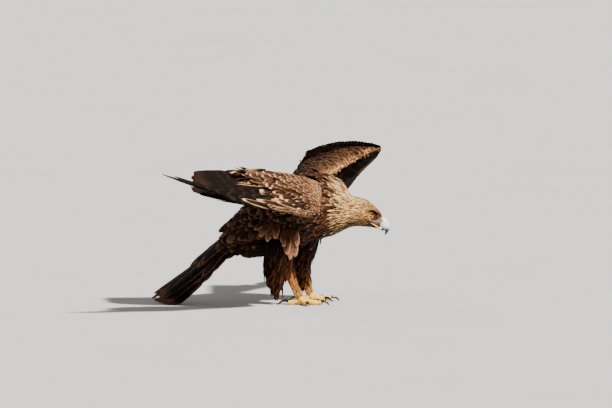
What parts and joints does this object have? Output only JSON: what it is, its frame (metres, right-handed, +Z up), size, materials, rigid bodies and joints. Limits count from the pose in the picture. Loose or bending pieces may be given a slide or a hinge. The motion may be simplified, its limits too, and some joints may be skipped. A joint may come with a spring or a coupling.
{
  "type": "golden eagle model",
  "caption": "Life-size still model of a golden eagle leaning forward on both feet, wings half open, head low and tail resting behind.",
  "frame": {"origin": "centre of the footprint of the whole bird on the floor it stands on", "axes": "+X the way the bird faces, +Y its left side, +Z up"},
  "size_m": [0.7392, 1.2262, 0.4901],
  "materials": {
    "body_feathers": "dark brown contour feathers with rufous edges",
    "nape_feathers": "pointed golden feathers of crown and nape",
    "wing_feathers": "brown to blackish flight feathers and pale-fringed coverts",
    "leg_feathers": "very dark brown trouser feathers",
    "shank_feathers": "short golden feathers down to the toes",
    "toe_skin": "yellow scaled skin",
    "claw": "black horn",
    "bill": "blue-grey horn with a black hook and yellow cere",
    "eye": "wet dark hazel"
  },
  "bodies": {
    "root": {"torso": "body_feathers", "neck": "nape_feathers", "head": "nape_feathers", "eye_right": "eye", "eye_left": "eye", "bill_upper": "bill", "bill_lower": "bill", "wing_right_arm": "wing_feathers", "wing_right_hand": "wing_feathers", "wing_left_arm": "wing_feathers", "wing_left_hand": "wing_feathers", "tail": "wing_feathers", "thigh_right": "leg_feathers", "thigh_left": "leg_feathers", "tarsus_right": "shank_feathers", "tarsus_left": "shank_feathers", "foot_right": "toe_skin", "foot_left": "toe_skin", "claw_right_middle": "claw", "claw_right_inner": "claw", "claw_right_outer": "claw", "claw_right_hind": "claw", "claw_left_middle": "claw", "claw_left_inner": "claw", "claw_left_outer": "claw", "claw_left_hind": "claw"}
  },
  "joints": []
}
